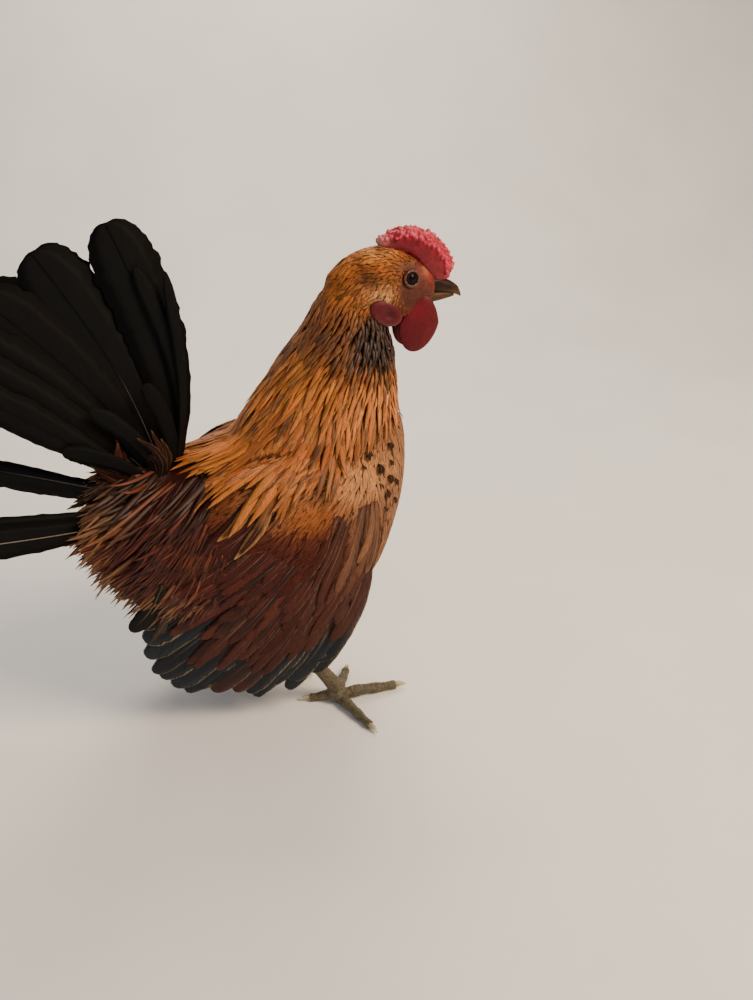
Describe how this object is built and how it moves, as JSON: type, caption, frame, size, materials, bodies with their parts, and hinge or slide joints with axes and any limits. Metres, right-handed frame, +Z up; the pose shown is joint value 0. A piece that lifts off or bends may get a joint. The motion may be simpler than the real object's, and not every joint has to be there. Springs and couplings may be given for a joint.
{
  "type": "bantam cockerel model",
  "caption": "still life-size model of a standing bantam cockerel with a low beaded comb, full hackle and a raised fanned tail",
  "frame": {"origin": "on the floor under the middle of the bounding box", "axes": "+X the way the bird faces, +Y its left side, +Z up"},
  "size_m": [0.2736, 0.1212, 0.2603],
  "materials": {
    "plumage_gold": "soft, slightly glossy feather",
    "plumage_red": "soft, slightly glossy feather",
    "plumage_black": "black feather with a faint sheen",
    "comb_skin": "moist, beaded skin",
    "horn": "semi-gloss horn",
    "eye": "wet gloss",
    "leg_scale": "satin overlapping scales"
  },
  "bodies": {
    "root": {"torso": "plumage_gold", "neck": "plumage_gold", "head": "plumage_gold", "thigh_right": "plumage_gold", "thigh_left": "plumage_gold", "wing_right": "plumage_red", "wing_left": "plumage_red", "tail_right": "plumage_black", "tail_left": "plumage_black", "comb": "comb_skin", "wattle_right": "comb_skin", "wattle_left": "comb_skin", "earlobe_right": "comb_skin", "earlobe_left": "comb_skin", "beak_upper": "horn", "beak_lower": "horn", "eye_right": "eye", "eye_left": "eye", "shank_right": "leg_scale", "shank_left": "leg_scale", "foot_right": "leg_scale", "foot_left": "leg_scale", "claw_right_hallux": "horn", "claw_right_inner": "horn", "claw_right_middle": "horn", "claw_right_outer": "horn", "claw_left_hallux": "horn", "claw_left_inner": "horn", "claw_left_middle": "horn", "claw_left_outer": "horn"}
  },
  "joints": []
}
